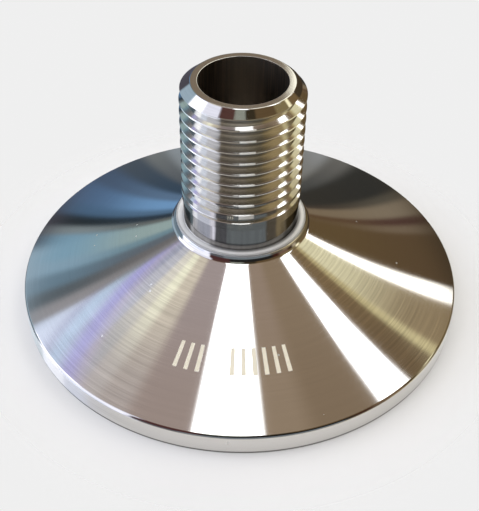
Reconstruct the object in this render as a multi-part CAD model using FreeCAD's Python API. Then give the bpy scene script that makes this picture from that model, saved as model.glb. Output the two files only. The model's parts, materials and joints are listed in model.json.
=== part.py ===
import FreeCAD, Part
import math
import os

os.makedirs("parts", exist_ok=True)

# Driving dimensions, in millimetres and degrees.
# The axis is Z, the clamp face lies on Z = 0 and the threaded mouth points up.

# Clamp flange
flange_diameter = 50.5
rim_height = 2.56
rim_edge_break = 0.18
cone_angle = 22.2

# Gasket groove in the clamp face
groove_mean_diameter = 43.6
groove_depth = 1.6
groove_mouth_width = 4.4
groove_floor_width = 1.8

# Hub, shoulder and neck
shoulder_diameter = 14.6
shoulder_height = 10.54
hub_flare = 0.6
neck_diameter = 12.94

# Pipe thread on the spigot: 19 turns to the inch, 55 degree form
thread_diameter = 13.157
thread_pitch = 25.4 / 19
thread_form_angle = 55.0
thread_depth_to_pitch = 0.640327
thread_crest_flat = 0.15
thread_start_height = 13.36
thread_crest_height_front = 26.0
thread_runout_turns = 2.0
thread_points_per_turn = 48

# Mouth
overall_height = 27.76
mouth_chamfer_diameter = 10.78
mouth_chamfer_height = 0.98

# Bore
bore_diameter = 9.28

# Derived sizes
flange_r = flange_diameter / 2
shoulder_r = shoulder_diameter / 2
neck_r = neck_diameter / 2
thread_r = thread_diameter / 2
bore_r = bore_diameter / 2
groove_r = groove_mean_diameter / 2
cone = math.radians(cone_angle)
chamfer_foot_z = overall_height - mouth_chamfer_height


def vec(r, z):
    return FreeCAD.Vector(r, 0, z)


def unit(a, b):
    d = FreeCAD.Vector(b[0] - a[0], 0, b[1] - a[1])
    d.normalize()
    return d


class Section:
    """Half section in the XZ plane: corners, each sharp or broken by a flat."""

    def __init__(self):
        self.corners = []

    def corner(self, r, z, flat_run=0.0):
        self.corners.append((r, z, flat_run))

    def turned(self):
        points = []
        count = len(self.corners)
        for i in range(count):
            r, z, flat_run = self.corners[i]
            here = vec(r, z)
            if flat_run:
                points.append(here + unit((r, z), self.corners[i - 1]) * flat_run)
                points.append(here + unit((r, z), self.corners[(i + 1) % count]) * flat_run)
            else:
                points.append(here)
        face = Part.Face(Part.makePolygon(points + [points[0]]))
        return face.revolve(FreeCAD.Vector(0, 0, 0), FreeCAD.Vector(0, 0, 1), 360)


def turned_blank():
    """The body as it leaves the lathe before the thread is cut."""
    hub_foot_z = rim_height + (flange_r - shoulder_r) * math.tan(cone)
    s = Section()
    s.corner(bore_r, 0)
    s.corner(groove_r - groove_mouth_width / 2, 0)
    s.corner(groove_r - groove_floor_width / 2, groove_depth)
    s.corner(groove_r + groove_floor_width / 2, groove_depth)
    s.corner(groove_r + groove_mouth_width / 2, 0)
    s.corner(flange_r, 0, rim_edge_break)
    s.corner(flange_r, rim_height, rim_edge_break)
    s.corner(shoulder_r, hub_foot_z, hub_flare)
    s.corner(shoulder_r, shoulder_height)
    s.corner(neck_r, shoulder_height)
    s.corner(neck_r, thread_start_height - (thread_r - neck_r))
    s.corner(thread_r, thread_start_height)
    s.corner(thread_r, chamfer_foot_z)
    s.corner(mouth_chamfer_diameter / 2, overall_height)
    s.corner(bore_r, overall_height)
    return s.turned()


def thread_tools():
    """Helical cutters one turn long, end to end, drawn out of the metal at the lower end."""
    depth = thread_depth_to_pitch * thread_pitch
    slope = math.tan(math.radians(thread_form_angle / 2))
    root_flat = thread_pitch - thread_crest_flat - 2 * depth * slope
    root_r = thread_r - depth
    outer_r = thread_r + 0.25 * thread_crest_flat / slope
    clear_r = thread_r + 0.12 * thread_crest_flat / slope
    turns_down = (thread_crest_height_front - thread_start_height) / thread_pitch
    turns_up = (overall_height - thread_crest_height_front) / thread_pitch + 1.0
    pieces = math.ceil(turns_down + turns_up)

    def corners(turn):
        drawn = max(0.0, 1 - (turn + turns_down) / thread_runout_turns)
        r = root_r + (clear_r - root_r) * drawn * drawn
        angle = math.radians(-90) + 2 * math.pi * turn
        z = thread_crest_height_front + thread_pitch * (turn + 0.5)
        half_in = root_flat / 2
        half_out = root_flat / 2 + (outer_r - r) * slope
        found = []
        for radius, height in (
            (r, z - half_in),
            (outer_r, z - half_out),
            (outer_r, z + half_out),
            (r, z + half_in),
        ):
            x = radius * math.cos(angle)
            y = radius * math.sin(angle)
            found.append(FreeCAD.Vector(x, y, height))
        return found

    def heading(turn, k):
        reach = 1e-4
        return (corners(turn + reach)[k] - corners(turn - reach)[k]) * (1 / (2 * reach))

    tools = []
    for piece in range(pieces):
        first = piece - turns_down
        stations = [first + i / thread_points_per_turn for i in range(thread_points_per_turn + 1)]
        sections = [corners(turn) for turn in stations]
        edges = []
        for k in range(4):
            curve = Part.BSplineCurve()
            curve.interpolate(
                Points=[section[k] for section in sections],
                Parameters=[turn - first for turn in stations],
                InitialTangent=heading(stations[0], k),
                FinalTangent=heading(stations[-1], k),
                Scale=False,
            )
            edges.append(curve.toShape())
        faces = []
        for k in range(4):
            faces.append(Part.makeRuledSurface(edges[k], edges[(k + 1) % 4], 1))
        for section in (sections[0], sections[-1]):
            faces.append(Part.Face(Part.makePolygon(section + [section[0]])))
        shell = Part.makeShell(faces)
        shell.sewShape()
        solid = Part.makeSolid(shell)
        if solid.Volume < 0:
            solid.reverse()
        tools.append(solid)
    return tools


body = turned_blank()
tools = thread_tools()
body = body.cut(tools[0::2])
body = body.cut(tools[1::2])
adapter_body = body.Solids[0]
print("solids", len(body.Solids), "faces", len(adapter_body.Faces), "valid", adapter_body.isValid())
print("volume", round(adapter_body.Volume, 2), adapter_body.BoundBox)
adapter_body.exportStep("parts/adapter_body.step")
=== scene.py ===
import json
import math

import bmesh
import bpy
from mathutils import Matrix, Vector


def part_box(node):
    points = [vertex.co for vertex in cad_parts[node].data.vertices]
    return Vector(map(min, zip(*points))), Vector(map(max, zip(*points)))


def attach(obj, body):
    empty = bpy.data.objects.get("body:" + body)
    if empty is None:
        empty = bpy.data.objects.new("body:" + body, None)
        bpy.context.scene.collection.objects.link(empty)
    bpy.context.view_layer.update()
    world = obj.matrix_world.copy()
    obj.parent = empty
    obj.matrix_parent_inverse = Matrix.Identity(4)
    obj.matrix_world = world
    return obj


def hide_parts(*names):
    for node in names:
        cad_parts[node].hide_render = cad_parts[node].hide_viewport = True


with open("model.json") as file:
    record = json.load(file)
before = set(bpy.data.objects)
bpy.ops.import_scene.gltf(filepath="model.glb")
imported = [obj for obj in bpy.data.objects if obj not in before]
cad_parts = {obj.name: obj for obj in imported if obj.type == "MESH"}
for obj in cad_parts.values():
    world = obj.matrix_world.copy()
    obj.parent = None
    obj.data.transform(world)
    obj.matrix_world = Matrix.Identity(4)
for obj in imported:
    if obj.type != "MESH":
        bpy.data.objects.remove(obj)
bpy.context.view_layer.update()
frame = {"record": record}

# Sizes in millimetres. The frame gives the main ones, the others repeat the part's source.
MM = 0.001
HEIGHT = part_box("adapter_body")[1][2] / MM
MOUNTS = {mount["name"]: mount for mount in frame["record"]["mounts"]}
FLANGE_R = MOUNTS["clamp_rim"]["dims"]["r_mm"]
BORE_R = MOUNTS["bore"]["dims"]["r_mm"]
THREAD_R = MOUNTS["pipe_thread"]["dims"]["r_mm"]
RIM_HEIGHT = 2.56
CONE_ANGLE = math.radians(22.2)
SHOULDER_R = 7.3
SHOULDER_Z = 10.54
NECK_R = 6.47
MOUTH_R = 5.39
CHAMFER_FOOT_Z = HEIGHT - 0.98
HUB_FOOT_Z = RIM_HEIGHT + (FLANGE_R - SHOULDER_R) * math.tan(CONE_ANGLE)

# Gasket groove in the clamp face
SEAL_R = 21.8
SEAL_HALF_MOUTH = 2.2
SEAL_HALF_FLOOR = 0.9
SEAL_DEPTH = 1.6

# Pipe thread. CREST_Z is the height of a crest's middle at the front.
PITCH = 25.4 / 19
THREAD_DEPTH = 0.640327 * PITCH
FLANK_SLOPE = math.tan(math.radians(55 / 2))
CREST_FLAT = 0.15
CREST_ROUND = 0.045
ROOT_ROUND = 0.07
CREST_Z = 26.0
THREAD_START_Z = 13.36
RUNOUT_TURNS = 2.0
RUNOUT_LIFT = THREAD_DEPTH + 0.05
TOOL_R = THREAD_R + 0.1

# How finely the meshes are turned, and what counts as one place
TURN_STEPS = 256
THREAD_STEPS = 128
CREST_STEPS = 5
ROOT_STEPS = 4
ONE_PLACE = 1e-3
MERGE = 1e-4
SHARP_ANGLE = math.radians(38)

# Roundings: radius and height of the turned edge, width of the rounding, segments
SOFT_EDGES = (
    (BORE_R, 0, 0.12, 1),
    (SEAL_R - SEAL_HALF_FLOOR, SEAL_DEPTH, 0.7, 6),
    (SEAL_R + SEAL_HALF_FLOOR, SEAL_DEPTH, 0.7, 6),
    (FLANGE_R, 0, 0.18, 4),
    (FLANGE_R, RIM_HEIGHT, 0.26, 6),
    (SHOULDER_R, HUB_FOOT_Z, 0.62, 16),
    (SHOULDER_R, SHOULDER_Z, 0.24, 5),
    (NECK_R, SHOULDER_Z, 0.05, 3),
    (MOUTH_R, HEIGHT, 0.07, 3),
    (BORE_R, HEIGHT, 0.07, 2),
)

# The finishes by number, in the order of FINISHES, and how far each reaches past its edge
(POLISHED_CONE, CUT_THREAD, SATIN_SHOULDER, BORED_WALL,
 FACED_MOUTH, TURNED_NECK, FACED_SEAL) = range(7)
BORE_REACH = 0.02
LEAD_IN = 0.2
NECK_FOOT = 0.12
SHOULDER_ROUND = 0.2
HAIR = 0.01
FACING_DOWN = -0.2


class Wire:
    """A shader socket that takes part in Python expressions."""

    def __init__(self, board, socket):
        self.board = board
        self.socket = socket

    def calc(self, operation, *others):
        return self.board.calc(operation, self, *others)

    def __add__(self, other):
        return self.calc("ADD", other)

    __radd__ = __add__

    def __mul__(self, other):
        return self.calc("MULTIPLY", other)

    __rmul__ = __mul__

    def __neg__(self):
        return self.calc("MULTIPLY", -1.0)

    def __sub__(self, other):
        return self.calc("SUBTRACT", other)

    def __rsub__(self, other):
        return self.board.calc("SUBTRACT", other, self)

    def __truediv__(self, other):
        return self.calc("DIVIDE", other)

    def __rtruediv__(self, other):
        return self.board.calc("DIVIDE", other, self)


class Board:
    """One node tree, with the one way in which nodes are added to it."""

    def __init__(self, tree):
        self.tree = tree
        tree.nodes.clear()

    def add(self, kind, settings=None, values=None, out=0):
        made = self.tree.nodes.new(kind)
        for name, setting in (settings or {}).items():
            if name == "stops":
                ramp = made.color_ramp
                ramp.interpolation = "EASE"
                ramp.elements[0].color = setting[0][1]
                ramp.elements[1].color = setting[-1][1]
                for place, paint in setting[1:-1]:
                    ramp.elements.new(place).color = paint
            else:
                setattr(made, name, setting)
        for key, value in (values or {}).items():
            if isinstance(value, Wire):
                self.tree.links.new(value.socket, made.inputs[key])
            else:
                made.inputs[key].default_value = value
        return Wire(self, made.outputs[out]) if made.outputs else made

    def calc(self, operation, *operands):
        return self.add("ShaderNodeMath", {"operation": operation}, dict(enumerate(operands)))

    def split(self, vector):
        parts = self.add("ShaderNodeSeparateXYZ", values={0: vector}).socket.node
        return [Wire(self, parts.outputs[i]) for i in range(3)]

    def rise(self, value, low, high):
        """0 below low, 1 above high, smooth between. With low above high it falls."""
        values = {0: value, 1: low, 2: high, 3: 0.0, 4: 1.0}
        return self.add("ShaderNodeMapRange", {"interpolation_type": "SMOOTHSTEP"}, values)

    def window(self, value, low, high, soft):
        """1 between low and high, 0 outside, smooth over the width soft."""
        half = soft / 2
        inside = self.rise(value, low - half, low + half)
        return inside - self.rise(value, high - half, high + half)

    def windows(self, value, rows):
        """The sum of several windows: rows of low, high, soft and strength."""
        return sum(self.window(value, *row[:3]) * row[3] for row in rows)

    def mix(self, factor, under, over):
        values = {0: factor, 6: under, 7: over}
        return self.add("ShaderNodeMix", {"data_type": "RGBA"}, values, out=2)


def colour(r, g, b):
    return (r, g, b, 1.0)


# Mesh

def ring_edges(bm, radius, height):
    """The edges of one turned ring."""
    found = []
    for edge in bm.edges:
        ends = [(math.hypot(v.co.x, v.co.y), v.co.z) for v in edge.verts]
        if all(abs(r - radius) < ONE_PLACE and abs(z - height) < ONE_PLACE for r, z in ends):
            found.append(edge)
    return found


def outline(bm, points):
    """A closed outline in a plane through the axis, as vertices and edges to spin."""
    verts = [bm.verts.new(point) for point in points]
    return verts + [bm.edges.new((verts[i - 1], verts[i])) for i in range(len(verts))]


def turned_body():
    """The body of revolution, in millimetres, with its edges broken as a lathe leaves them."""
    section = (
        (BORE_R, 0),
        (SEAL_R - SEAL_HALF_MOUTH, 0),
        (SEAL_R - SEAL_HALF_FLOOR, SEAL_DEPTH),
        (SEAL_R + SEAL_HALF_FLOOR, SEAL_DEPTH),
        (SEAL_R + SEAL_HALF_MOUTH, 0),
        (FLANGE_R, 0),
        (FLANGE_R, RIM_HEIGHT),
        (SHOULDER_R, HUB_FOOT_Z),
        (SHOULDER_R, SHOULDER_Z),
        (NECK_R, SHOULDER_Z),
        (NECK_R, THREAD_START_Z - (THREAD_R - NECK_R)),
        (THREAD_R, THREAD_START_Z),
        (THREAD_R, CHAMFER_FOOT_Z),
        (MOUTH_R, HEIGHT),
        (BORE_R, HEIGHT),
    )
    bm = bmesh.new()
    bmesh.ops.spin(
        bm, geom=outline(bm, [(r, 0, z) for r, z in section]), cent=(0, 0, 0),
        axis=(0, 0, 1), angle=2 * math.pi, steps=TURN_STEPS, use_merge=True,
    )
    bmesh.ops.remove_doubles(bm, verts=bm.verts, dist=MERGE)
    bmesh.ops.recalc_face_normals(bm, faces=bm.faces)
    for radius, height, width, segments in SOFT_EDGES:
        bmesh.ops.bevel(
            bm, geom=ring_edges(bm, radius, height), offset=width, offset_type="OFFSET",
            segments=segments, profile=0.5, affect="EDGES", material=-1, clamp_overlap=True,
        )
    return bm


def rounded(corner, before, after, radius, steps):
    """Points of the arc that rounds one corner of a section."""
    here = Vector(corner)
    back = (Vector(before) - here).normalized()
    ahead = (Vector(after) - here).normalized()
    half = back.angle(ahead) / 2
    run = radius / math.tan(half)
    centre = here + (back + ahead).normalized() * (radius / math.sin(half))
    start = here + back * run - centre
    finish = here + ahead * run - centre
    turned = [start.slerp(finish, i / steps).normalized() for i in range(steps + 1)]
    return [centre + arm * radius for arm in turned]


def thread_section():
    """One groove: (distance from the middle of the crest, radius) with its edges rounded."""
    reach = CREST_FLAT / 2 - (TOOL_R - THREAD_R) * FLANK_SLOPE
    lip = (CREST_FLAT / 2, THREAD_R)
    foot = (CREST_FLAT / 2 + THREAD_DEPTH * FLANK_SLOPE, THREAD_R - THREAD_DEPTH)
    middle = (PITCH / 2, THREAD_R - THREAD_DEPTH)
    half = rounded(lip, (0.0, THREAD_R), foot, CREST_ROUND, CREST_STEPS)
    half = half[1:] + rounded(foot, lip, middle, ROOT_ROUND, ROOT_STEPS)
    other = [Vector((PITCH - z, r)) for z, r in reversed(half)]
    return [(reach, TOOL_R)] + half + other + [(PITCH - reach, TOOL_R)]


def thread_tool():
    """The helical groove as a solid, drawn out of the metal over the last turns at the neck."""
    lowest = (CREST_Z - THREAD_START_Z) / PITCH
    down = math.ceil(lowest)
    turns = down + math.ceil((HEIGHT - CREST_Z) / PITCH) + 1
    start = CREST_Z - down * PITCH
    bm = bmesh.new()
    bmesh.ops.spin(
        bm, geom=outline(bm, [(0, -r, start + z) for z, r in thread_section()]),
        cent=(0, 0, 0), axis=(0, 0, 1), angle=2 * math.pi, steps=THREAD_STEPS,
        dvec=(0, 0, PITCH / THREAD_STEPS),
    )
    one_turn = bm.verts[:] + bm.edges[:] + bm.faces[:]
    for i in range(1, turns):
        copied = bmesh.ops.duplicate(bm, geom=one_turn)["geom"]
        moved = [part for part in copied if isinstance(part, bmesh.types.BMVert)]
        bmesh.ops.translate(bm, verts=moved, vec=(0, 0, i * PITCH))
    bmesh.ops.remove_doubles(bm, verts=bm.verts, dist=MERGE)
    bmesh.ops.holes_fill(bm, edges=bm.edges, sides=0)
    for v in bm.verts:
        round_part = (math.atan2(v.co.y, v.co.x) + math.pi / 2) / (2 * math.pi)
        middle = (v.co.z - CREST_Z) / PITCH - 0.5
        turn = round(middle - round_part) + round_part
        share = min(max(1 - (turn + lowest) / RUNOUT_TURNS, 0.0), 1.0)
        radius = math.hypot(v.co.x, v.co.y)
        grown = (radius + RUNOUT_LIFT * share * share) / radius
        v.co.x *= grown
        v.co.y *= grown
    bmesh.ops.recalc_face_normals(bm, faces=bm.faces)
    return bm


def as_object(bm, name, materials):
    mesh = bpy.data.meshes.new(name)
    bm.to_mesh(mesh)
    bm.free()
    for material in materials:
        mesh.materials.append(material)
    made = bpy.data.objects.new(name, mesh)
    bpy.context.scene.collection.objects.link(made)
    return made


def surface_of(centre, normal):
    """Which finish a face of the turned body takes."""
    radius = math.hypot(centre.x, centre.y)
    if radius < BORE_R + BORE_REACH:
        return BORED_WALL
    if centre.z > CHAMFER_FOOT_Z:
        return FACED_MOUTH
    if centre.z > THREAD_START_Z - LEAD_IN:
        return CUT_THREAD
    if centre.z > SHOULDER_Z + NECK_FOOT and radius < SHOULDER_R:
        return TURNED_NECK
    if centre.z > SHOULDER_Z - SHOULDER_ROUND and radius > NECK_R - HAIR:
        return SATIN_SHOULDER
    if centre.z < SEAL_DEPTH + HAIR and normal.z < FACING_DOWN:
        return FACED_SEAL
    return POLISHED_CONE


def work_in_modifiers(made):
    """Gives the object the mesh that its modifiers make."""
    view = bpy.context.evaluated_depsgraph_get()
    finished = bpy.data.meshes.new_from_object(made.evaluated_get(view))
    made.modifiers.clear()
    made.data = finished
    finished.name = made.name


def build_adapter(finishes):
    body_mesh = turned_body()
    for face in body_mesh.faces:
        face.material_index = surface_of(face.calc_center_median(), face.normal)
        face.smooth = True
    body = as_object(body_mesh, "adapter_turned", finishes)
    tool_mesh = thread_tool()
    for face in tool_mesh.faces:
        face.material_index = CUT_THREAD
        face.smooth = True
    tool = as_object(tool_mesh, "thread_tool", finishes)
    cut = body.modifiers.new("thread_cut", "BOOLEAN")
    cut.operation = "DIFFERENCE"
    cut.solver = "MANIFOLD"
    cut.object = tool
    work_in_modifiers(body)
    bpy.data.objects.remove(tool)
    body.data.set_sharp_from_angle(angle=SHARP_ANGLE)
    even = body.modifiers.new("face_weights", "WEIGHTED_NORMAL")
    even.mode = "FACE_AREA"
    even.weight = 100
    even.keep_sharp = True
    work_in_modifiers(body)
    body.data.transform(Matrix.Scale(MM, 4))
    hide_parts("adapter_body")
    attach(body, "root")


# Finishes. Places on them are in millimetres and in degrees round the axis from the front.
DEGREE = math.degrees(1.0)
STEEL = (0.62, 0.60, 0.57)
THREAD_STEEL = (0.58, 0.56, 0.52)
SATIN_STEEL = (0.93, 0.93, 0.92)
BORE_STEEL = (0.3, 0.27, 0.23)
CONE_ROUGHNESS = 0.08
FROST_ROUGHNESS = 0.5
RELIEF = 0.00002

ALONG_THE_RINGS = 0.25

# Turning lines to the millimetre, how fast they change round the axis, and their roughness
CONE_LINES = 3.6
CONE_FINE_LINES = 7.0
THREAD_LINES = 9.0
FACED_LINES = 6.0
RING_DRIFT = 0.02
RING_RAGGEDNESS = 0.7

# Upright streaks to the degree, how fast they change along the axis, and their roughness
NECK_STREAKS = 0.22
BORE_STREAKS = 0.16
STREAK_DRIFT = 0.08
STREAK_RAGGEDNESS = 0.6

# How strongly the lines change the shade, and how strongly they stand up
THREAD_CONTRAST = 0.4
FACED_CONTRAST = 0.2
NECK_CONTRAST = 0.16
STREAK_CONTRAST = 0.5
CONE_BUMP = 0.03
THREAD_BUMP = 0.06
FACED_BUMP = 0.05

# Cone: sectors where its lines stand out, the painted shade in a line at the rim's foot, and the
# bars
LINED_SECTORS = ((-56, -26, 12, 0.9), (46, 68, 8, 0.9))
LINES_ELSEWHERE = 0.14
RIM_WALL = (FLANGE_R - 0.3, FLANGE_R - 0.2)
RIM_FOOT_SHADE_LINE = (0.42, 0.26)
RIM_FOOT_SHADE = 0.75
SPECK_CELL = 2.3
SPECK_SIZE = 0.06
SPECK_CORE = SPECK_SIZE * 0.6
SPECKED_CELLS = (0.6, 0.62)
SPECK_PAINT = colour(0.9, 0.9, 0.88)
BAR_BAND = (16.6, 19.3, 0.12)
BAR_STEP = 3.6
BAR_WIDTH = (0.3, 0.66, 0.1)
BAR_ROWS = ((-22.5, -11.7, 0.2, 1.0), (-4.5, 17.1, 0.2, 1.0))
BAR_PAINT = colour(0.93, 0.87, 0.7)
BAR_COVER = 0.9

# Thread: its mean shade, the depths under the crests where a look sets in, the painted shades at
# the front, the heights of the full turns, and where the painted glint of the lamp lies on the
# crests
THREAD_MEAN = 1.05
FLANK_DEPTH = (0.8, 0.12)
CREST_DEPTH = (0.07, 0.03)
ROOT_DEPTH = (0.56, 0.72)
FRONT_SECTOR = (-24, 27, 14)
FLANK_SHADE = 0.42
CREST_SHADE = 0.1
UPPER_CREST_SHADE = 0.5
ROOT_SHADE = 0.4
UPPER_HALF = (0.485, 0.51)
FULL_TURNS = (14.9, 26.4, 0.1)
# The painted glint of the lamp on the crests at the front: depth, sector, turns, paint and cover
CREST_GLINT_DEPTH = (0.09, 0.05)
CREST_GLINT_SECTOR = (-2, 12, 1.5)
CREST_GLINT_TURNS = (14.4, 26.2, 0.1)
CREST_GLINT_PAINT = colour(0.98, 0.97, 0.91)
CREST_GLINT_COVER = 0.85

# Shoulder: its mean shade, the painted shade at its two edges, and how metallic it looks
SATIN_MEAN = 1.03
SATIN_METALLIC = 0.2
INNER_EDGE = (NECK_R + 0.42, NECK_R + 0.05)
INNER_SHADE = 0.25
INNER_FRONT_SHADE = 0.5
INNER_FRONT = (-34, -26)
OUTER_EDGE = (SHOULDER_R - 0.26, SHOULDER_R - 0.1)
OUTER_SHADE = 0.42

# Neck: the painted shade in a line at its foot, and the painted shade on its sides
NECK_FOOT_SHADE_LINE = (SHOULDER_Z + 1.05, SHOULDER_Z + 0.75)
NECK_FOOT_SHADE_SECTOR = (-34, -24)
NECK_FOOT_SHADE = 0.62
NECK_PAINTED_SHADE_SIDES = ((-52, -28, 2, 0.36), (-100, -58, 4, 0.68), (46, 94, 6, 0.55), (63, 94, 8, 0.33))
NECK_TINT = colour(0.4, 0.4, 0.4)

# Bore: the light on its streaks and on its far wall
LIT_STREAKS = (0.4, 0.68)
LIT_PAINT = colour(0.5, 0.42, 0.34)
FAR_WALL = (135, 172)
FAR_PAINT = colour(0.72, 0.66, 0.58)
FAR_COVER = 0.75


def polar(board, place):
    """Radius and height in millimetres, and azimuth in degrees from the front."""
    x, y, z = board.split(place)
    radius = (x * x + y * y).calc("SQRT") / MM
    azimuth = x.calc("ARCTAN2", -y) * DEGREE
    return radius, z / MM, azimuth


def noise(board, dimensions, values, roughness):
    """Noise from coordinates that are already scaled."""
    vector = board.add("ShaderNodeCombineXYZ", values=values)
    values = {"Vector": vector, "Scale": 1.0, "Detail": 2.0, "Roughness": roughness}
    return board.add("ShaderNodeTexNoise", {"noise_dimensions": dimensions}, values)


def turning_lines(board, spot, per_mm):
    """Fine rings left by the tool: noise that is long round the axis and short across it."""
    radius, height, azimuth = spot
    values = {0: radius * per_mm, 1: height * per_mm, 2: azimuth * RING_DRIFT}
    return noise(board, "3D", values, RING_RAGGEDNESS)


def upright_streaks(board, spot, per_degree):
    """Soft streaks along the axis."""
    _, height, azimuth = spot
    values = {0: azimuth * per_degree, 1: height * STREAK_DRIFT}
    return noise(board, "2D", values, STREAK_RAGGEDNESS)


def wavering(lines, strength, mean=1.0):
    """A shade that follows the lines about its mean."""
    return (lines - 0.5) * strength + mean


def shaded(board, base, shade):
    """The base colour under a shade that varies over the surface."""
    return board.add("ShaderNodeVectorMath", {"operation": "SCALE"}, {0: base, "Scale": shade})


def raised(board, lines, strength):
    values = {"Strength": strength, "Distance": RELIEF, "Height": lines}
    return board.add("ShaderNodeBump", values=values)


def specks(board, place):
    """Scattered pits: 1 inside a small dot in some of the cells, 0 elsewhere."""
    settings = {"voronoi_dimensions": "3D", "feature": "F1"}
    values = {"Vector": place, "Scale": 1 / (SPECK_CELL * MM), "Randomness": 1.0}
    cells = board.add("ShaderNodeTexVoronoi", settings, values).socket.node
    gap = Wire(board, cells.outputs["Distance"])
    picked = board.split(Wire(board, cells.outputs["Color"]))[0]
    return board.rise(gap, SPECK_SIZE, SPECK_CORE) * board.rise(picked, *SPECKED_CELLS)


def frosted_bars(board, spot):
    """Two short rows of plain upright bars on the front of the cone."""
    radius, _, azimuth = spot
    step = (azimuth + 180.0) / BAR_STEP
    bar = board.window(step.calc("FRACT"), *BAR_WIDTH)
    return board.window(radius, *BAR_BAND) * bar * board.windows(azimuth, BAR_ROWS)


def cone_marks_and_painted_shade(board, place, base):
    """Turning lines that stand out in two sectors, small bright specks, the bars, and painted
    shade at the rim's foot.
    """
    radius, height, azimuth = spot = polar(board, place)
    coarse = turning_lines(board, spot, CONE_LINES)
    fine = turning_lines(board, spot, CONE_FINE_LINES)
    depth = board.windows(azimuth, LINED_SECTORS) + LINES_ELSEWHERE
    # Painted shade: a darker line low on the rim's wall, where it meets the floor.
    foot = board.rise(height, *RIM_FOOT_SHADE_LINE) * board.rise(radius, *RIM_WALL)
    shade = wavering(coarse * 0.5 + fine * 0.5, depth) - foot * RIM_FOOT_SHADE
    pits = specks(board, place)
    bars = frosted_bars(board, spot)
    steel = board.mix(pits, shaded(board, base, shade), SPECK_PAINT)
    return {
        "Base Color": board.mix(bars, steel, BAR_PAINT),
        "Metallic": 1.0 - bars * BAR_COVER,
        "Roughness": bars.calc("MAXIMUM", pits) * FROST_ROUGHNESS + CONE_ROUGHNESS,
        "Normal": raised(board, coarse + fine, CONE_BUMP),
    }


def thread_marks_and_painted_light(board, place, base):
    """Painted shade on flanks, roots and upper crests at the front, and a painted glint on
    crests there.
    """
    radius, height, azimuth = spot = polar(board, place)
    fine = turning_lines(board, spot, THREAD_LINES)
    depth = THREAD_R - radius
    crest = board.rise(depth, *CREST_DEPTH)
    flank = board.rise(depth, *FLANK_DEPTH) - crest
    root = board.rise(depth, *ROOT_DEPTH)
    turned = (height - CREST_Z) / PITCH - azimuth / 360.0 + 0.5
    upper = board.rise(turned.calc("FRACT"), *UPPER_HALF) * board.window(height, *FULL_TURNS)
    crest_shade = crest * (upper * UPPER_CREST_SHADE + CREST_SHADE)
    # Painted shade: the flanks, the upper crests and the roots are darker at the front.
    dark = flank * FLANK_SHADE + crest_shade + root * ROOT_SHADE
    dark = dark * board.window(azimuth, *FRONT_SECTOR)
    shade = wavering(fine, THREAD_CONTRAST, THREAD_MEAN) - dark
    # A painted glint: a pale, less metallic patch on the crests at the front, for the lamp's
    # highlight.
    crest_glint = board.rise(depth, *CREST_GLINT_DEPTH) * board.window(azimuth, *CREST_GLINT_SECTOR)
    crest_glint = crest_glint * board.window(height, *CREST_GLINT_TURNS)
    return {
        "Base Color": board.mix(crest_glint, shaded(board, base, shade), CREST_GLINT_PAINT),
        "Metallic": 1.0 - crest_glint * CREST_GLINT_COVER,
        "Normal": raised(board, fine, THREAD_BUMP),
    }


def ring_marks(board, place, base):
    """Nothing but fine rings."""
    fine = turning_lines(board, polar(board, place), FACED_LINES)
    steel = shaded(board, base, wavering(fine, FACED_CONTRAST))
    return {"Base Color": steel, "Normal": raised(board, fine, FACED_BUMP)}


def satin_marks_and_painted_shade(board, place, base):
    """A matt, almost white ring, which a facing tool left without polish, with painted shade at
    its edges.
    """
    radius, _, azimuth = spot = polar(board, place)
    fine = turning_lines(board, spot, FACED_LINES)
    # Painted shade: darker next to the neck, more so from the front round to the right, and at
    # the outer edge.
    front = board.rise(azimuth, *INNER_FRONT) * INNER_FRONT_SHADE + INNER_SHADE
    inner = board.rise(radius, *INNER_EDGE) * front
    outer = board.rise(radius, *OUTER_EDGE) * OUTER_SHADE
    shade = wavering(fine, FACED_CONTRAST, SATIN_MEAN) - inner - outer
    return {
        "Base Color": shaded(board, base, shade),
        "Metallic": SATIN_METALLIC,
        "Normal": raised(board, fine, FACED_BUMP),
    }


def neck_marks_and_painted_shade(board, place, base):
    """Fine rings with a few soft upright streaks, and painted shade on the sides and in a line
    at the foot.
    """
    _, height, azimuth = spot = polar(board, place)
    fine = turning_lines(board, spot, FACED_LINES)
    streaks = upright_streaks(board, spot, NECK_STREAKS)
    # Painted shade: a darker line low on the neck, next to the shoulder.
    foot = board.rise(height, *NECK_FOOT_SHADE_LINE) * board.rise(azimuth, *NECK_FOOT_SHADE_SECTOR)
    shade = wavering(streaks, STREAK_CONTRAST, wavering(fine, NECK_CONTRAST))
    # The painted shade darkens the foot line and the sides.
    shade = shade * (1.0 - foot * NECK_FOOT_SHADE) * (1.0 - board.windows(azimuth, NECK_PAINTED_SHADE_SIDES))
    return {
        "Base Color": shaded(board, base, shade),
        "Specular Tint": NECK_TINT,
        "Normal": raised(board, fine, FACED_BUMP),
    }


def bore_marks(board, place, base):
    """Warm upright streaks, and more light on the far wall."""
    _, _, azimuth = spot = polar(board, place)
    lit = board.rise(upright_streaks(board, spot, BORE_STREAKS), *LIT_STREAKS)
    steel = board.mix(lit, colour(*base), LIT_PAINT)
    far = board.rise(azimuth.calc("ABSOLUTE"), *FAR_WALL) * FAR_COVER
    return {"Base Color": board.mix(far, steel, FAR_PAINT)}


def metal(name, base, roughness, anisotropy, marks_and_painted_light):
    """A steel finish, with the marks that the tool left on it, and the light and shade painted
    on some finishes.
    """
    material = bpy.data.materials.new(name)
    material.use_nodes = True
    board = Board(material.node_tree)
    values = {
        "Base Color": colour(*base),
        "Metallic": 1.0,
        "Roughness": roughness,
        "Anisotropic": anisotropy,
        "Anisotropic Rotation": ALONG_THE_RINGS,
    }
    place = board.add("ShaderNodeTexCoord", out=3)
    values.update(marks_and_painted_light(board, place, base))
    shader = board.add("ShaderNodeBsdfPrincipled", values=values)
    board.add("ShaderNodeOutputMaterial", values={"Surface": shader})
    return material


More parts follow.
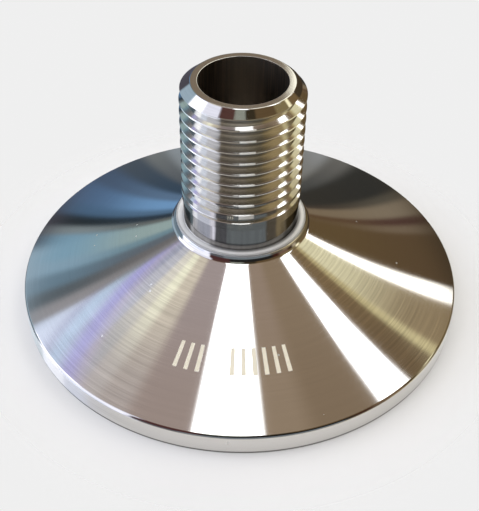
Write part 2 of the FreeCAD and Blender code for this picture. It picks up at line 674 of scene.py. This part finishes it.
# Name, base colour, roughness, anisotropy, and marks with the painted light and shade
FINISHES = (
    ("polished_cone", STEEL, CONE_ROUGHNESS, 0.9, cone_marks_and_painted_shade),
    ("cut_thread", THREAD_STEEL, 0.1, 0.5, thread_marks_and_painted_light),
    ("satin_shoulder", SATIN_STEEL, 0.45, 0.3, satin_marks_and_painted_shade),
    ("bored_wall", BORE_STEEL, 0.3, 0.5, bore_marks),
    ("faced_mouth", STEEL, 0.06, 0.6, ring_marks),
    ("turned_neck", STEEL, 0.08, 0.6, neck_marks_and_painted_shade),
    ("faced_seal", STEEL, 0.22, 0.6, ring_marks),
)

# Surroundings
CAMERA_PLACE = Vector((0, -0.079085, 0.075364))
CAMERA_FORWARD = Vector((-0.000696, 0.742323, -0.670042))
CAMERA_ROLL = -0.01736
CAMERA_LENS = 63.61
CAMERA_SENSOR = 36.0
CAMERA_NEAR = 0.001

BACKDROP = colour(0.865, 0.865, 0.865)
FLOOR_PAINT = colour(0.86, 0.86, 0.86)
FLOOR_R = 0.036
FLOOR_FADE = 0.009
FLOOR_COVER = 0.7
FLOOR_ROUGHNESS = 0.9
FLOOR_SHINE = 0.1
FLOOR_SIDES = 96

# Softboxes: name, place, power and tint
SOFTBOXES = (
    ("left_softbox", (-0.25, -0.1, 0.5), 0.72, (0.96, 0.98, 1.0)),
    ("right_softbox", (0.35, 0.05, 0.4), 0.62, (1.0, 0.96, 0.89)),
)
SOFTBOX_AIM = Vector((0, 0, 0.01))
SOFTBOX_SIZE = 0.5

# The studio as the steel shows it, panel by panel round from the back on the left. A place in
# it goes by the tilt and the azimuth, in degrees, of the surface that mirrors it towards the
# camera. Each row has the panel's name, its far edge's azimuth, that edge's softness, and the
# panel's look in the steel. The upper panels, which the cone shows, have one look near the hub
# and one near the rim, and their azimuth is fanned.
LAMP = (1.45, 1.45, 1.45)
WARM_LAMP = (1.45, 1.42, 1.36)
NEAR_HUB = 3
NEAR_RIM = 4
UPPER_PANELS = (
    ("back_left", -148, 6, (0.45, 0.47, 0.48), (0.56, 0.59, 0.61)),
    ("grey_corner", -138, 6, (0.30, 0.32, 0.34), (0.46, 0.47, 0.46)),
    ("slate_corner", -127, 6, (0.20, 0.26, 0.32), (0.27, 0.30, 0.33)),
    ("blue_shade", -118, 5, (0.34, 0.43, 0.53), (0.26, 0.32, 0.40)),
    ("blue_wall", -108.3, 5, (0.42, 0.57, 0.72), (0.29, 0.38, 0.49)),
    ("blue_edge", -103.3, 3, (0.31, 0.41, 0.51), (0.27, 0.37, 0.47)),
    ("frame_edge", -98.4, 2.4, (0.16, 0.20, 0.24), (0.13, 0.16, 0.17)),
    ("grey_post", -95, 2.4, (0.38, 0.39, 0.38), (0.49, 0.53, 0.54)),
    ("teal_wall", -85, 4, (0.56, 0.63, 0.62), (0.46, 0.60, 0.68)),
    ("teal_low", -80.5, 3, (0.42, 0.52, 0.56), (0.50, 0.61, 0.68)),
    ("teal_shade", -75.3, 3, (0.36, 0.39, 0.42), (0.38, 0.47, 0.53)),
    ("lilac_shade", -70.8, 3, (0.41, 0.40, 0.40), (0.32, 0.35, 0.37)),
    ("lilac_edge", -66.5, 2, (0.49, 0.48, 0.48), (0.56, 0.55, 0.56)),
    ("lilac_light", -58.5, 3, (0.61, 0.62, 0.68), (0.80, 0.84, 0.92)),
    ("lilac_drape", -51.8, 3, (0.72, 0.72, 0.75), (0.70, 0.72, 0.79)),
    ("cream_wall", -45.5, 3, (0.84, 0.82, 0.77), (0.64, 0.64, 0.65)),
    ("cream_light", -39.5, 4, (0.92, 0.91, 0.81), (0.69, 0.66, 0.65)),
    ("beige_wall", -30.5, 5, (0.79, 0.75, 0.68), (0.65, 0.61, 0.59)),
    ("mauve_wall", -12.3, 0.6, (0.61, 0.56, 0.55), (0.59, 0.53, 0.50)),
    ("middle_lamp", 7.3, 0.6, LAMP, LAMP),
    ("tan_wall", 20, 8, (0.56, 0.49, 0.43), (0.55, 0.48, 0.40)),
    ("brown_wall", 39.7, 0.6, (0.52, 0.45, 0.37), (0.49, 0.42, 0.34)),
    ("right_lamp", 49.6, 0.6, LAMP, LAMP),
    ("brown_gap", 59.2, 2, (0.46, 0.38, 0.27), (0.41, 0.34, 0.25)),
    ("gold_strip", 62.3, 2, (0.68, 0.62, 0.45), (0.76, 0.71, 0.54)),
    ("gold_wall", 75.4, 0.8, (0.82, 0.79, 0.65), (0.54, 0.47, 0.36)),
    ("side_lamp", 80.3, 0.8, WARM_LAMP, WARM_LAMP),
    ("dark_brown_wall", 98, 2, (0.36, 0.29, 0.19), (0.34, 0.27, 0.19)),
    ("grey_streak", 101.5, 2, (0.37, 0.30, 0.21), (0.44, 0.38, 0.31)),
    ("dark_gap", 105, 2, (0.34, 0.26, 0.18), (0.28, 0.19, 0.17)),
    ("light_post", 112, 3, (0.46, 0.40, 0.32), (0.48, 0.43, 0.36)),
    ("slate_shade", 116, 3, (0.24, 0.21, 0.18), (0.31, 0.29, 0.25)),
    ("slate_wall", 133, 6, (0.19, 0.18, 0.16), (0.17, 0.17, 0.16)),
    ("grey_back", 143, 6, (0.25, 0.25, 0.24), (0.40, 0.39, 0.37)),
    ("back_right", 180, 0, (0.40, 0.39, 0.36), (0.58, 0.59, 0.60)),
)
# What the mouth's chamfer shows
LOWER_PANELS = (
    ("left_dark", -93, 5, (0.28, 0.27, 0.30)),
    ("left_teal", -66, 2, (0.58, 0.65, 0.70)),
    ("left_window", -45, 2, (1.15, 1.15, 1.2)),
    ("lilac_drape", -25.5, 2, (0.88, 0.88, 0.93)),
    ("red_drape", -8.5, 1.5, (0.31, 0.21, 0.19)),
    ("green_card", 3.0, 2, (0.52, 0.53, 0.49)),
    ("dark_card", 14, 3, (0.20, 0.17, 0.12)),
    ("brown_card", 38, 3, (0.35, 0.28, 0.19)),
    ("gold_card", 56, 2, (0.48, 0.42, 0.29)),
    ("right_window", 60.5, 1.5, (1.0, 0.96, 0.80)),
    ("tan_card", 77, 4, (0.42, 0.34, 0.23)),
    ("right_dark", 180, 0, (0.23, 0.19, 0.14)),
)
# What the hub's fillet and the shoulder's edge show
DEEP_PANELS = (
    ("left_slate", -61, 3, (0.42, 0.48, 0.52)),
    ("left_window", -27.5, 2, (0.98, 0.98, 1.02)),
    ("red_drape", -9, 2, (0.28, 0.17, 0.17)),
    ("dark_room", 30, 3, (0.12, 0.115, 0.11)),
    ("red_brown", 36, 3, (0.23, 0.12, 0.09)),
    ("brown_card", 46, 3, (0.42, 0.33, 0.27)),
    ("dark_gap", 52, 2, (0.24, 0.18, 0.13)),
    ("tan_strip", 57, 2, (0.62, 0.57, 0.48)),
    ("right_brown", 180, 0, (0.37, 0.32, 0.22)),
)
# What the neck shows, by way of a second reflection
HORIZON_PANELS = (
    ("left_slate", -62, 3, (0.27, 0.31, 0.35)),
    ("left_strip", -53, 2, (0.86, 0.87, 0.91)),
    ("left_drape", -34, 2, (0.69, 0.70, 0.75)),
    ("inner_strip", -28, 2, (0.78, 0.77, 0.81)),
    ("dark_edge", -14.5, 1.5, (0.26, 0.26, 0.27)),
    ("slate_card", 28, 2, (0.34, 0.355, 0.36)),
    ("brown_card", 41, 4, (0.27, 0.245, 0.21)),
    ("tan_card", 180, 0, (0.42, 0.37, 0.28)),
)
# What the thread's flanks show, by way of a second reflection
TABLE_PANELS = (
    ("left_shade", -84, 3, (0.34, 0.38, 0.40)),
    ("left_table", -62, 3, (0.66, 0.71, 0.73)),
    ("left_light", -51, 2, (1.0, 1.0, 1.02)),
    ("lilac_table", -42, 2, (0.80, 0.82, 0.88)),
    ("pale_table", -25, 2, (0.73, 0.73, 0.76)),
    ("grey_brown_table", 5, 6, (0.47, 0.43, 0.38)),
    ("dark_table", 22, 6, (0.45, 0.41, 0.33)),
    ("tan_table", 48, 4, (0.55, 0.48, 0.35)),
    ("gold_table", 70, 4, (0.74, 0.69, 0.54)),
    ("right_table", 180, 0, (0.42, 0.37, 0.28)),
)
# Where the lower groups of panels set in, by tilt: start and end of the change, the panels,
# the number of reflections, and how much each degree of azimuth counts as tilt
PANEL_GROUPS = (
    (30.8, 32.0, LOWER_PANELS, 1, 0.0),
    (43, 46, DEEP_PANELS, 1, 0.0),
    (58, 63, HORIZON_PANELS, 2, 0.0),
    (77, 81, TABLE_PANELS, 2, 0.2),
)
SIDE_LIMIT = 50.0

# The upper panels: how their azimuth fans out, and where the look near the hub gives way to
# the look near the rim
FAN = 1.252
FAN_LOSS = 0.009
HUB_TO_RIM = (21.8, 25.8)
HUB_TO_RIM_SIDE = 0.048
HUB_TO_RIM_LIMIT = 90.0

# The ceiling, which the mouth's face shows: a pale middle, a tan rim and a bright right side
CEILING_TO_PANELS = (13, 17)
PALE_TO_TAN = (4.3, 4.8)
BRIGHT_SIDE = (2.25, 2.6)
PALE_CEILING = (0.86, 0.86, 0.85)
TAN_CEILING = (0.46, 0.41, 0.35)
BRIGHT_CEILING = (1.05, 1.03, 0.95)

# The table below, which the rim's wall and the thread's crests show: the ray's drop, the
# azimuth from which it is seen, and its look
TABLE_DROP = (-0.56, -0.63)
TABLE_SECTOR = (-48, -30)
TABLE_LOOK = (0.88, 0.87, 0.85)

# Thin bands that slant across the light panels on the left: start, end, strength and look
STRIPES = (
    (-63, -60.6, 0.6, (0.46, 0.38, 0.56)),
    (-60, -55, 0.5, (0.70, 0.84, 0.94)),
    (-53, -47.5, 0.75, (0.64, 0.61, 0.87)),
    (-46.5, -44, 0.35, (0.82, 0.72, 0.86)),
)
STRIPED_SECTOR = (-67, -42, 5)
STRIPE_SOFTNESS = 1.6
STRIPE_SLANT = 3.7
STRIPE_FOOT_TILT = 29.2

# A colour ramp takes 32 stops at most
RAMP_ROWS = 15


def linear(seen):
    """Light from the value that a screen shows."""
    return seen / 12.92 if seen <= 0.04045 else ((seen + 0.055) / 1.055) ** 2.4


def radiance(look, bounces=1):
    """The light that a panel gives, from how it looks in the steel after so many reflections."""
    return colour(*[linear(seen) / steel ** bounces for seen, steel in zip(look, STEEL)])


def panels(board, azimuth, rows, bounces=1, look=NEAR_HUB):
    """A group of panels as colour ramps, each of which takes over where the last one ends."""
    found = None
    for first in range(0, len(rows), RAMP_ROWS):
        part = rows[max(first - 1, 0):first + RAMP_ROWS]
        paints = [radiance(row[look], bounces) for row in part]
        stops = [] if first else [(-180, paints[0])]
        for row, paint, after in zip(part, paints, paints[1:]):
            edge, soft = row[1:3]
            stops += [(edge - soft / 2, paint), (edge + soft / 2, after)]
        stops.append((part[-1][1], paints[-1]))
        start = stops[0][0]
        span = stops[-1][0] - start
        settings = {"stops": [((place - start) / span, paint) for place, paint in stops]}
        ramp = board.add("ShaderNodeValToRGB", settings, {0: (azimuth - start) / span})
        if found:
            ramp = board.mix(azimuth.calc("GREATER_THAN", start), found, ramp)
        found = ramp
    return found


def stripes(board, azimuth, tilt, under):
    across = azimuth - (tilt - STRIPE_FOOT_TILT) * STRIPE_SLANT
    inside = board.window(azimuth, *STRIPED_SECTOR)
    for start, end, share, look in STRIPES:
        mask = board.window(across, start, end, STRIPE_SOFTNESS) * inside * share
        under = board.mix(mask, under, radiance(look))
    return under


def upper_panels(board, azimuth, tilt):
    """What the cone shows."""
    fanned = azimuth * (FAN - tilt * FAN_LOSS)
    sideways = fanned.calc("ABSOLUTE").calc("MINIMUM", HUB_TO_RIM_LIMIT) * HUB_TO_RIM_SIDE
    outward = board.rise(tilt - sideways, *HUB_TO_RIM)
    at_hub = panels(board, fanned, UPPER_PANELS)
    at_rim = panels(board, fanned, UPPER_PANELS, look=NEAR_RIM)
    return stripes(board, fanned, tilt, board.mix(outward, at_hub, at_rim))


def ceiling(board, side, tilt):
    """What the mouth's face shows."""
    edge = board.rise(tilt, *PALE_TO_TAN)
    seen = board.mix(edge, radiance(PALE_CEILING), radiance(TAN_CEILING))
    return board.mix(board.rise(side, *BRIGHT_SIDE), seen, radiance(BRIGHT_CEILING))


def surroundings():
    """The studio that the steel mirrors, and the plain backdrop that the camera sees."""
    world = bpy.data.worlds.new("studio")
    bpy.context.scene.world = world
    world.use_nodes = True
    board = Board(world.node_tree)
    x, y, z = board.split(board.add("ShaderNodeTexCoord", out=0))
    drop = board.rise(z, *TABLE_DROP)
    axis = CAMERA_PLACE.normalized()
    x = x + axis.x
    y = y + axis.y
    z = z + axis.z
    azimuth = x.calc("ARCTAN2", -y) * DEGREE
    tilt = (x * x + y * y).calc("SQRT").calc("ARCTAN2", z) * DEGREE
    overhead = ceiling(board, x / z * DEGREE, tilt)
    above = board.rise(tilt, *CEILING_TO_PANELS)
    seen = board.mix(above, overhead, upper_panels(board, azimuth, tilt))
    beside = azimuth.calc("ABSOLUTE").calc("MINIMUM", SIDE_LIMIT)
    for low, high, rows, bounces, across in PANEL_GROUPS:
        step = board.rise(tilt + beside * across, low, high)
        seen = board.mix(step, seen, panels(board, azimuth, rows, bounces))
    table = drop * board.rise(azimuth, *TABLE_SECTOR)
    seen = board.mix(table, seen, radiance(TABLE_LOOK))
    path = board.add("ShaderNodeLightPath").socket.node
    camera_ray = Wire(board, path.outputs["Is Camera Ray"])
    final = board.mix(camera_ray, seen, BACKDROP)
    light = board.add("ShaderNodeBackground", values={"Color": final, "Strength": 1.0})
    board.add("ShaderNodeOutputWorld", values={"Surface": light})


def floor():
    """A pale round sheet under the object that fades into the backdrop."""
    bm = bmesh.new()
    bmesh.ops.create_circle(bm, cap_ends=True, radius=FLOOR_R, segments=FLOOR_SIDES)
    material = bpy.data.materials.new("pale_floor")
    material.use_nodes = True
    board = Board(material.node_tree)
    x, y, _ = board.split(board.add("ShaderNodeTexCoord", out=3))
    radius = (x * x + y * y).calc("SQRT")
    values = {
        "Base Color": FLOOR_PAINT,
        "Roughness": FLOOR_ROUGHNESS,
        "Specular IOR Level": FLOOR_SHINE,
        "Alpha": board.rise(radius, FLOOR_R, FLOOR_R - FLOOR_FADE) * FLOOR_COVER,
    }
    shader = board.add("ShaderNodeBsdfPrincipled", values=values)
    board.add("ShaderNodeOutputMaterial", values={"Surface": shader})
    made = as_object(bm, "studio_floor", [material])


def softbox(name, place, power, tint):
    """A round lamp that lights the object and isn't mirrored in it."""
    light = bpy.data.lights.new(name, "AREA")
    light.shape = "DISK"
    light.size = SOFTBOX_SIZE
    light.energy = power
    light.color = tint
    made = bpy.data.objects.new(name, light)
    made.location = place
    made.rotation_mode = "QUATERNION"
    made.rotation_quaternion = (SOFTBOX_AIM - Vector(place)).to_track_quat("-Z", "Y")
    made.visible_glossy = False
    bpy.context.scene.collection.objects.link(made)


def camera():
    """The camera that was fitted to the photograph's edges."""
    data = bpy.data.cameras.new("camera")
    data.sensor_width = CAMERA_SENSOR
    data.lens = CAMERA_LENS
    data.clip_start = CAMERA_NEAR
    made = bpy.data.objects.new("camera", data)
    forward = CAMERA_FORWARD.normalized()
    level_right = forward.cross(Vector((0, 0, 1))).normalized()
    level_up = level_right.cross(forward)
    c, s = math.cos(CAMERA_ROLL), math.sin(CAMERA_ROLL)
    right = level_right * c - level_up * s
    up = level_up * c + level_right * s
    turn = Matrix((right, up, -forward)).transposed()
    made.matrix_world = Matrix.Translation(CAMERA_PLACE) @ turn.to_4x4()
    bpy.context.scene.collection.objects.link(made)
    bpy.context.scene.camera = made


bpy.context.scene.view_settings.view_transform = "Standard"
camera()
surroundings()
floor()
for box in SOFTBOXES:
    softbox(*box)
build_adapter([metal(*finish) for finish in FINISHES])
